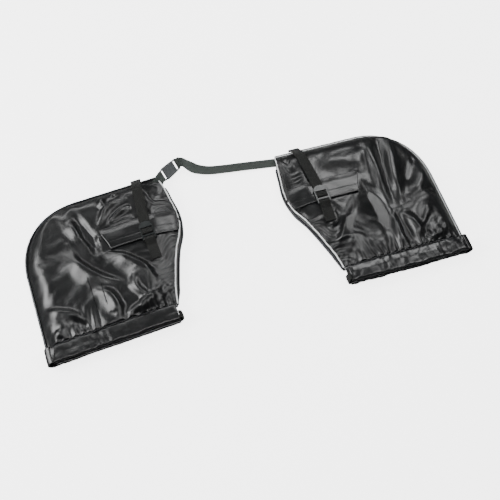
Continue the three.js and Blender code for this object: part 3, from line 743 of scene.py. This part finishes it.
def build_panels(side):
    surface, rest = front_surface(side)
    panel_surface[side] = surface
    under = surface - grid_normals(surface) * COVER_THICK
    skin = closed_sheet(side + "_front_cover", to_grid(side, surface), to_grid(side, under), NYLON)
    cover(skin, side, "_front_shell")

    liner_top = surface.copy()
    liner_top[..., 2] -= 1.6
    liner_low = surface.copy()
    liner_low[..., 2] = np.minimum(rest - 7.2, surface[..., 2] - 3.4)
    liner_low[..., 2] = np.maximum(liner_low[..., 2], 8.6)
    liner_top[..., 2] = np.maximum(liner_top[..., 2], liner_low[..., 2] + 0.5)
    keep = slice(0, ROWS - 16), slice(1, COLUMNS - 9)
    nodes = side + "_front_lining", side + "_front_padding"
    lining(side, "_front_liner", liner_top[keep], liner_low[keep], nodes)

    seed = SEEDS[side]["back"]
    bx, by = panel_plan(BACK_ROWS, BACK_COLUMNS)
    bx = bx - back_lip(side, by) * clamp01(1 - (bx - mouth_edge(by)) / 30)
    seam = edge_distance(bx, by)[2]
    wave = (value_noise(bx, by, 30, seed) + 0.6 * value_noise(bx, by, 12, seed + 1)) * 0.5 + 0.6
    back_top = np.stack([bx, by, 1.5 + wave * smooth(seam / 10)], -1)
    sag = 0.35 * clamp01(value_noise(bx, by, 18, seed + 2)) * smooth(seam / 8)
    back_low = np.stack([bx, by, 0.05 + sag], -1)
    back = closed_sheet(side + "_back_cover", to_grid(side, back_top), to_grid(side, back_low), NYLON)
    cover(back, side, "_back_shell")

    bump = 0.7 * value_noise(bx, by, 34, seed + 3)
    low = back_top.copy()
    low[..., 2] += 0.25
    high = back_top.copy()
    high[..., 2] = 7.0 + bump
    keep = slice(0, BACK_ROWS - 9), slice(1, BACK_COLUMNS - 5)
    lining(side, "_back_liner", high[keep], low[keep], (side + "_back_lining", side + "_back_padding"))


def back_lip(side, y):
    """How far the back panel's mouth edge lies outside the front panel's."""
    return BACK_LIP[side] * smooth((y - HEM) / 40) * smooth((LENGTH - 8 - y) / 40)


def to_grid(side, grid):
    return to_row(side, grid).reshape(grid.shape)


def height_on(side, x, y):
    """The height of the finished front panel at a point of the muff's plane."""
    grid = panel_surface[side]
    d = (grid[..., 0] - x) ** 2 + (grid[..., 1] - y) ** 2
    return float(grid.reshape(-1, 3)[np.argmin(d), 2])


def heights_on(side, x, y):
    heights = [height_on(side, a, b) for a, b in zip(np.ravel(x), np.ravel(y))]
    return np.array(heights).reshape(np.shape(x))


# ---------- edges and piping ----------
def closed_edge(inset):
    """The closed edge in plan, from the mouth's top corner round to the cuff."""
    top = LENGTH - inset
    points = [(x, top) for x in np.linspace(float(mouth_edge(LENGTH)), TOP_FLAT_END, 40)]
    for a in np.linspace(0, math.pi / 2, 60)[1:]:
        e = 2 / CORNER_POWER
        points.append((TOP_FLAT_END + (CUFF_WIDTH - TOP_FLAT_END - inset) * math.sin(a) ** e,
                       CORNER_START + (top - CORNER_START) * max(math.cos(a), 0) ** e))
    points += [(CUFF_WIDTH - inset, y) for y in np.linspace(CORNER_START, HEM, 36)[1:]]
    return np.array(points)


UP = (0, 0, 1)
EDGE_CORD = {"left": (3, 5.6, 0.9), "right": (5.5, 4.9, 1.35)}  # its inset from the edge, height and radius
BINDING_SECTION = np.array([(-2.1, -2.7), (-0.6, -3), (1.4, -2.7), (2.1, -1), (2.25, 0.6), (1.9, 2.2),
                            (0.9, 2.9), (-0.5, 3), (-1.8, 2.5), (-2.3, 1), (-2.3, -1)]) * MM


def edge_pieces(side):
    seed = SEEDS[side]["edge"]
    path = resample([(x, y, 2.4) for x, y in closed_edge(BINDING / 2)], 2.2)
    path[:, 2] += 0.35 * value_noise(path[:, 0], path[:, 1], 14, seed)
    drawn = 1 + 0.08 * value_noise(path[:, 0], path[:, 1], 6, seed + 1)
    binding = swept(side + "_binding", to_row(side, path), UP, BINDING_SECTION, BINDING_TAPE,
                    np.stack([drawn, drawn], 1))
    sewn_on(binding, side, "nylon", side + "_edge_binding")

    inset, height, radius = EDGE_CORD[side]
    path = resample([(x, y, height) for x, y in closed_edge(inset)], 2.2)
    path[:, 2] += 0.2 * value_noise(path[:, 0], path[:, 1], 20, seed + 2)
    # The right muff's edge cord is silver; the left one's is the same piping painted dark: painted shade.
    cord = swept(side + "_edge_cord", to_row(side, path), UP, round_section(radius, 8) * MM,
                 SILVER if side == "right" else SHADED_PIPING)
    sewn_on(cord, side, "reflective", side + "_edge_piping")
    stitches(side + "_binding_stitches", side, inset_path(side, BINDING + 2.2), 3.4, 2.2, 0.28)


def inset_path(side, inset):
    """A path on the front panel, along its closed edge."""
    plan = closed_edge(inset)
    z = crown(plan[:, 0], plan[:, 1]) + EDGE_SLACK
    path = resample(np.column_stack([plan, z]), 1.2)
    path[:, 2] = heights_on(side, path[:, 0], path[:, 1]) + 0.25
    return path


def stitches(name, side, path, pitch, length, radius, body=None):
    """A row of thread stitches, each a short bowed bar that dips into the cloth at both ends."""
    s = arc_lengths(path)
    vertices, faces = [], []
    sides, steps = 6, 5
    ring = round_section(radius, sides)
    for start in np.arange(0.5, s[-1] - length, pitch):
        at = start + np.linspace(0, length, steps)
        p = np.stack([np.interp(at, s, path[:, k]) for k in range(3)], 1)
        p[:, 2] += radius * 1.1 * (1 - (2 * np.linspace(0, 1, steps) - 1) ** 2) - radius * 0.4
        t = np.gradient(p, axis=0)
        t /= np.linalg.norm(t, axis=1, keepdims=True)
        a = np.cross(t, (0, 0, 1.0))
        a /= np.linalg.norm(a, axis=1, keepdims=True)
        b = np.cross(t, a)
        base = len(vertices)
        for j in range(steps):
            shrink = 0.6 if j in (0, steps - 1) else 1
            vertices += [p[j] + (a[j] * r[0] + b[j] * r[1]) * shrink for r in ring]
        last = base + (steps - 1) * sides
        faces += [[base + k for k in range(sides)][::-1], [last + k for k in range(sides)]]
        for j in range(steps - 1):
            faces += ring_faces(base + j * sides, sides)
    obj = face_out(new_object(name, to_row(side, vertices), faces, THREAD))
    obj.data.uv_layers.new(name="Web")
    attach(obj, body or side + "_muff")


def running_mean(values, reach):
    """Every value averaged with as many of its neighbours as reach, on both sides."""
    count = 2 * reach + 1
    return np.convolve(np.pad(values, reach, mode="edge"), np.ones(count) / count, "valid")


SEAMS = {"left": [((164, 166), (164, 49)), ((139, 142), (139, 85))], "right": []}


def seams(side):
    """Short straight seams in the front panel, each a fine cord of folded cloth with a row of stitches."""
    count = 90
    for k, (start, end) in enumerate(SEAMS[side]):
        plan = np.linspace(start, end, count)
        height = running_mean(heights_on(side, plan[:, 0], plan[:, 1]), 3) + 0.25
        path = np.column_stack([plan, height])
        from_end = np.minimum(np.arange(count), np.arange(count)[::-1])
        taper = clamp01(from_end / 8) * 0.75 + 0.25
        cord = swept(f"{side}_seam_{k}", to_row(side, path), UP, round_section(0.75, 8) * MM, BINDING_TAPE,
                     np.stack([taper, taper], 1))
        sewn_on(cord, side, "nylon")
        path[:, 0] += 2.2
        path[:, 2] = heights_on(side, path[:, 0], path[:, 1]) + 0.25
        stitches(f"{side}_seam_stitches_{k}", side, path, 3.2, 2.1, 0.26)


def mouth_pieces(side):
    # Each cord's ends, and the height it lies at where it isn't on the front panel.
    runs = {"upper": (SLOT_Y + 6, LENGTH - 9, None), "lower": (HEM + 2, SLOT_Y - 4, None),
            "back": (HEM + 4, LENGTH - 40, 2.4)}
    for name, (y0, y1, z) in runs.items():
        y = np.linspace(y0, y1, 70)
        out = 0.7 if z is None else 1.2 + back_lip(side, y)
        x = mouth_edge(y) - out + 0.5 * value_noise(y, y * 0, 26, 5)
        height = np.full(y.shape, z) if z else running_mean(heights_on(side, x + 2, y) + 1.0, 2)
        if name == "lower":
            x = x - 1.4 * smooth((y - SLOT_Y + 40) / 30)
        path = resample(np.column_stack([x, y, height]), 1.5)
        # The front cords are silver; the back cord is the same piping painted dark: painted shade.
        cord = swept(f"{side}_piping_{name}_cord", to_row(side, path), UP, round_section(1.5, 10) * MM,
                     SILVER if z is None else SHADED_PIPING)
        sewn_on(cord, side, "reflective", f"{side}_mouth_piping_{name}")
    for k, (y0, y1) in enumerate(((HEM + 6, SLOT_Y - 6), (SLOT_Y + 8, LENGTH - 14))):
        y = np.linspace(y0, y1, 160)
        x = mouth_edge(y) + 6
        path = np.column_stack([x, y, heights_on(side, x, y) + 0.2])
        stitches(f"{side}_mouth_stitches_{k}", side, path, 3.4, 2.2, 0.26)


# ---------- the cuff ----------
def cuff_hem(side, name, nodes, low, high, seed, puff):
    """A gathered tube of cloth along the cuff."""
    count, ring, x0, x1 = 150, 30, -1, 284
    half = (high - low) / 2
    x = np.linspace(x0, x1, count)
    warp = 10 * value_noise(x, x * 0, 60, seed)
    gather = np.sin(2 * np.pi * (x + warp) / 23) + 0.5 * np.sin(2 * np.pi * (x - warp) / 13)
    end = smooth((x - x0) / 8) * smooth((x1 - x) / 8)
    a = np.linspace(0, 2 * np.pi, ring, endpoint=False)
    grid = np.zeros((count, ring, 3))
    for i in range(count):
        flat = HEM / 2 - half
        y = HEM / 2 + flat * np.clip(np.cos(a) * 1.6, -1, 1) + half * np.cos(a) * 0.98
        z = low + half + half * np.sin(a) * (0.9 + 0.1 * end[i])
        pull = 0.5 * gather[i] * np.maximum(np.sin(a), -0.3) * (0.4 + 0.6 * np.abs(np.sin(a * 2)))
        seam_pull = 0.5 + 0.5 * value_noise(x[i], 0, 45, seed + 1)
        broad = value_noise(x[i] + 0.5 * y, y + 40, 24, seed + 2)
        sharp = 0.5 - np.abs(value_noise(x[i] - 0.8 * y, y * 0.5, 17, seed + 3))
        crumple = 1.7 * broad + 1.5 * sharp * (1 if side == "right" else 0.8)
        crumpled = 0.7 + 1.5 * float(smooth((x[i] - 110) / 70)) if side == "left" else 1.1
        z = z + (pull * seam_pull + crumpled * crumple * np.maximum(np.sin(a), 0)) * end[i] * puff
        slump = value_noise(x[i], 9.0, 34, seed + 4)
        share = np.cos(a) * np.where(np.cos(a) < 0, 1.0, 0.3) * end[i] * puff
        y = y + (0.9 * gather[i] * seam_pull + 1.8 * slump) * share
        # A stitched line dents the cloth a third of the way in from the free edge.
        dent = np.exp(-((y - 11 - 1.5 * slump) / 2.2) ** 2) * np.maximum(np.sin(a), 0)
        z = z - 1.6 * dent
        grid[i] = np.column_stack([np.full(ring, x[i]), y, np.maximum(z, low + 0.05)])
    vertices = to_row(side, grid)
    faces = []
    for i in range(count - 1):
        faces += ring_faces(i * ring, ring)
    faces += [list(range(ring))[::-1], [(count - 1) * ring + k for k in range(ring)]]
    # The right cuff's hem is painted lighter than the left one's: painted light.
    material = NYLON_CROSS_LIT if side == "right" else NYLON
    obj = face_out(new_object(f"{side}_{name}", vertices, faces, material))
    sewn_on(obj, side, "nylon", *nodes)


def hem_turn(side, name, node, x, reach, y0, y1, material, seed):
    """Cloth turning from the back hem up to the front hem, with small creases."""
    low, high = 0.5, 30.1
    middle, half = (low + high) / 2, (high - low) / 2
    arc = np.linspace(-math.pi / 2, math.pi / 2, 20)
    ys = np.linspace(y0, y1, 26)
    grids = []
    for shrink in (0.0, 2.6):
        g = np.zeros((len(ys), len(arc), 3))
        for j, yy in enumerate(ys):
            crease = 0.8 * value_noise(arc * 9, yy, 7, seed) * np.cos(arc)
            bulge = 1 + 0.05 * math.sin((yy - y0) / (y1 - y0) * math.pi)
            r = (abs(reach) - shrink + crease * 0.6) * bulge * (1 if reach > 0 else -1)
            z = middle + (half - shrink) * np.sin(arc)
            g[j] = np.column_stack([x + r * np.cos(arc), np.full(arc.shape, yy), z])
        grids.append(g)
    obj = closed_sheet(f"{side}_{name}", to_grid(side, grids[0]), to_grid(side, grids[1]), material)
    sewn_on(obj, side, "nylon", f"{side}_{node}")


def cuff(side):
    puff = 1.0 if side == "left" else 1.5
    seed = SEEDS[side]["cuff"]
    for name, low, high, step, share in (("front", 17.2, 30.6, 0, 1), ("back", 0, 10, 5, 0.6)):
        nodes = [f"{side}_cuff_hem_{name}", f"{side}_cuff_elastic_{name}"]
        cuff_hem(side, name + "_hem", nodes, low, high, seed + step, puff * share)
    hem_turn(side, "cuff_turn", "cuff_side_turn", 284.3, 14, 1, HEM - 1, NYLON, seed + 9)
    hem_turn(side, "corner_tack", "cuff_corner_tack", -1.3, -9, 4, 20, TACK_TAPE, seed + 11)
    x = np.linspace(4, 280, 260)
    gather = np.sin(2 * np.pi * x / 23)
    path = np.column_stack([x, np.full(x.shape, HEM - 1.5) + 0.4 * gather, np.full(x.shape, 30.4)])
    stitches(f"{side}_cuff_stitches", side, path, 3.6, 2.4, 0.28)


# ---------- the flap over the slot ----------
def flap(side):
    rows, columns = 40, 90
    y = np.linspace(FLAP_BOTTOM, FLAP_TOP, rows)
    grid = np.zeros((rows, columns, 3))
    seed = SEEDS[side]["flap"]
    for j, yy in enumerate(y):
        end = FLAP_END - 13 * float(smooth((FLAP_TOP - yy) / (FLAP_TOP - FLAP_BOTTOM)))
        x = np.linspace(float(mouth_edge(yy)) + 1, end, columns)
        lift = EDGE_SLACK + 1.8 + 2.6 * float(smooth((FLAP_TOP - yy) / 18))
        ripple = 0.8 * value_noise(x, x * 0 + yy, 22, seed) * smooth((FLAP_TOP - yy) / 12)
        # The strap presses the flap down where it crosses.
        free = smooth((np.abs(x - STRAP_X) - 13) / 10)
        curl = 0.4 + 0.6 * value_noise(x, x * 0, 40, seed + 1)
        curl *= 1.2 * np.exp(-((yy - FLAP_BOTTOM) / 5) ** 2)
        grid[j] = np.column_stack([x, np.full(columns, yy), crown(x, yy) + lift + (ripple + curl) * free])
    # Dents under the rows of stitches that hold the tape.
    for line in (FLAP_BOTTOM + 4, FLAP_BOTTOM + 19):
        grid[..., 2] -= 0.5 * np.exp(-((grid[..., 1] - line) / 1.4) ** 2)
    # The sheet is thinner at its turned edges than in the middle.
    from_end = np.minimum(np.arange(columns), np.arange(columns)[::-1])[None, :]
    from_side = np.minimum(np.arange(rows), np.arange(rows)[::-1])[:, None]
    low = grid.copy()
    low[..., 2] -= 0.45 + 0.7 * clamp01(np.minimum(from_end, from_side) / 2)
    obj = closed_sheet(f"{side}_slot_cover", to_grid(side, grid), to_grid(side, low), NYLON)
    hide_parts(f"{side}_slot_flap", f"{side}_slot_flap_end")
    end = to_row(side, [(FLAP_SPLIT + 26, 247, 36)])[0]
    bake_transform(obj)
    # Each row of stitches has a part on the muff and a part on the end that lifts.
    for k, yy in enumerate((FLAP_BOTTOM + 4, FLAP_BOTTOM + 19, FLAP_TOP - 3)):
        parts = ((float(mouth_edge(yy)) + 6, FLAP_SPLIT - 2), (FLAP_SPLIT + 27, FLAP_END - 16))
        row = int(np.argmin(np.abs(y - yy)))
        for part, (x0, x1) in enumerate(parts):
            x = np.linspace(x0, x1, 120)
            z = np.interp(x, grid[row, :, 0], grid[row, :, 2]) + 0.15
            line = np.column_stack([x, np.full(x.shape, yy), z])
            body = f"{side}_flap" if part else f"{side}_muff"
            stitches(f"{side}_flap_stitches_{k}_{part}", side, line, 3.2, 2.1, 0.26, body)


# ---------- straps ----------
# Where the clamp strap and its anchor run, as (y, z) in a muff's plane: the same points as the CAD's.
STRAP_ROUTE = [
    (397, 1.4), (398.8, 5.5), (396.8, 10.5), (389, 17), (380, 23.6), (370, 29.6), (358, 34), (340, 37),
    (320, 38.3), (288, 38.3), (279, 39), (240, 39), (228, 39), (224.9, 39.9), (224.4, 42.3), (225.9, 44.3),
    (230.6, 44.9), (235.4, 44.2), (237.2, 42.5), (239.6, 41.05), (244, 40.75), (279, 40.75), (288, 40.05),
    (320, 40.05), (340, 38.75), (354, 36.9),
]
ANCHOR_ROUTE = [
    (158, 34.8), (190, 34.8), (197, 35.6), (204, 38), (208, 39.1), (213.4, 39.2), (214.8, 40.6), (214.8, 43),
    (213.6, 44.3), (209, 44.4), (205.4, 42.6), (199, 39), (191, 36.7), (158, 36.5),
]


WEB_SHAPE = web_section(WEB_WIDTH, WEB_THICK) * MM


def strap_x(y):
    return STRAP_X + (STRAP_TOP_X - STRAP_X) * float(clamp01((y - LOCK_LIP_END) / (LENGTH - LOCK_LIP_END)))


def straps(side):
    path = resample([(strap_x(y), y, z) for y, z in STRAP_ROUTE], 1.6)
    strap = swept(f"{side}_strap", to_row(side, path), across(side), WEB_SHAPE, WEB)
    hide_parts(f"{side}_clamp_strap")
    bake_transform(strap)
    path = resample([(STRAP_X, y, z) for y, z in ANCHOR_ROUTE], 1.4)
    tab = swept(f"{side}_anchor_tab", to_row(side, path), across(side), WEB_SHAPE, WEB)
    sewn_on(tab, side, "webbing", f"{side}_strap_anchor")
    # A crossed box of stitches holds the anchor.
    box = [(STRAP_X - 9, 161), (STRAP_X + 9, 161), (STRAP_X + 9, 184), (STRAP_X - 9, 184), (STRAP_X - 9, 161),
           (STRAP_X + 9, 184)]
    for k in range(len(box) - 1):
        line = np.linspace(box[k], box[k + 1], 40)
        line = np.column_stack([line, np.full(40, 37.25)])
        stitches(f"{side}_anchor_stitches_{k}", side, line, 2.8, 1.9, 0.26)
    soften(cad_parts[f"{side}_ladder_lock"], PLASTIC, 0.5)


def across(side):
    """The direction across a muff."""
    a = to_row(side, [(0, 0, 0), (1, 0, 0)])
    d = a[1] - a[0]
    return d / np.linalg.norm(d)


def soften(obj, material, width):
    """A better material and softened edges on a CAD node."""
    obj.data.materials.clear()
    obj.data.materials.append(material)
    bevel = obj.modifiers.new("soft_edges", "BEVEL")
    bevel.width, bevel.segments = width * MM, 2
    bevel.limit_method, bevel.angle_limit = "ANGLE", math.radians(40)


# ---------- the buckle and the joining strap ----------
HEADING, ROLL = math.radians(29), math.radians(55)
BUCKLE_PLACE = Vector((-104, 400 + PAIR_SHIFT_Y, 17.5))
BUCKLE_MATRIX = (Matrix.Translation(BUCKLE_PLACE) @ Matrix.Rotation(HEADING, 4, "Z")
                 @ Matrix.Rotation(ROLL, 4, "X"))
PLUG_BAR, REAR_BAR, BAR, WEB_GAP = 15, 37, 1.75, 0.3  # the bars' places, their half-thickness and the gap
JOINING_TURN = 0.164


def in_buckle(x, z):
    return np.array(BUCKLE_MATRIX @ Vector((x, 0, z)))


ACROSS_BUCKLE = np.array(BUCKLE_MATRIX.to_3x3() @ Vector((0, 1, 0)))


def part_point(x, y, z):
    return np.array((x, y + PAIR_SHIFT_Y, z))


def turning_strap(name, points, sides, nodes, material):
    """Webbing whose width turns from point to point."""
    points, sides = np.array(points, float), np.array(sides, float)
    path = resample(points, 1.8)
    knots = arc_lengths(points)
    at = arc_lengths(path)
    at = at / at[-1] * knots[-1]
    turned = np.stack([np.interp(at, knots, sides[:, k]) for k in range(3)], 1)
    obj = swept(name, path * MM, turned, WEB_SHAPE, material)
    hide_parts(*nodes)
    return obj


def round_bar(at, facing, ring, reach, count):
    """Points round a bar of the buckle, out to an angle on either side of the way the loop faces."""
    angles = np.linspace(-reach, reach, count)
    return [in_buckle(at + facing * ring * math.cos(a), ring * math.sin(a)) for a in angles]


def turned_sides(count, share_at, across_end):
    """The webbing's side at each point, turning from the buckle's across direction to another."""
    sides = []
    for i in range(count):
        t = float(smooth(share_at(i)))
        side = ACROSS_BUCKLE * (1 - t) + across_end * t
        sides.append(side / np.linalg.norm(side))
    return sides


def joining():
    """The strap from the plug to the right muff, and the loop that holds the socket on the left one."""
    ring = BAR + WEB_GAP + WEB_THICK / 2 + 0.1
    loop = round_bar(PLUG_BAR, -1, ring, 0.62 * math.pi, 9)
    end = part_point(145, 341.2, 2.2)
    heading = np.array((math.cos(JOINING_TURN), -math.sin(JOINING_TURN), 0))
    flat = np.array((math.sin(JOINING_TURN), math.cos(JOINING_TURN), 0))
    run = [part_point(*p) for p in [(-76, 407, 17.5), (-68, 399, 15.5), (-58, 388, 13.5), (-46, 379, 11.5),
                                    (-20, 368.5, 9), (20, 361, 7), (58, 355.5, 5.5), (95.7, 349.4, 4)]]
    tail = [in_buckle(27, -0.9), in_buckle(22, -1.2)]
    points = tail + loop + [in_buckle(22, 1.4)] + run + [end, end + heading * 12, end + heading * 26]
    start = len(tail) + len(loop)
    sides = turned_sides(len(points), lambda i: (i - start) / 6, flat)
    strap = turning_strap("joining_web", points, sides, ["joining_strap", "joining_strap_end"], GREY_WEB)
    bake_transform(strap)

    ring = math.sqrt(2) * BAR + WEB_GAP + WEB_THICK / 2 + 0.8
    arc = round_bar(-REAR_BAR, 1, ring, math.pi / 2, 7)
    low = [part_point(*p) for p in [(-190, 367, 2.6), (-168, 367.5, 3.6), (-154, 369.5, 6.4)]]
    high = [part_point(*p) for p in [(-154, 370, 8.8), (-168, 368, 5.9), (-190, 367.5, 4.5)]]
    points = low + [in_buckle(-43, -2)] + arc + [in_buckle(-43, 2)] + high
    middle = (len(points) - 1) / 2
    sides = turned_sides(len(points), lambda i: (abs(i - middle) - 4) / 2, np.array((0, 1.0, 0)))
    loop = turning_strap("socket_web", points, sides, ["socket_loop"], GREY_WEB)
    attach(loop, "left_muff")
    for node in ("buckle_socket", "buckle_plug", "buckle_prong_far", "buckle_prong_near"):
        soften(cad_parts[node], BUCKLE, 0.5)


# ---------- everything ----------
for side in ("left", "right"):
    build_panels(side)
    edge_pieces(side)
    mouth_pieces(side)
    seams(side)
    cuff(side)
    flap(side)
    straps(side)
    for node, material in (("flap_hook_tape", HOOKS), ("flap_loop_tape", LOOPS)):
        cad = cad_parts[f"{side}_{node}"]
        cad.data.materials.clear()
        cad.data.materials.append(material)
joining()
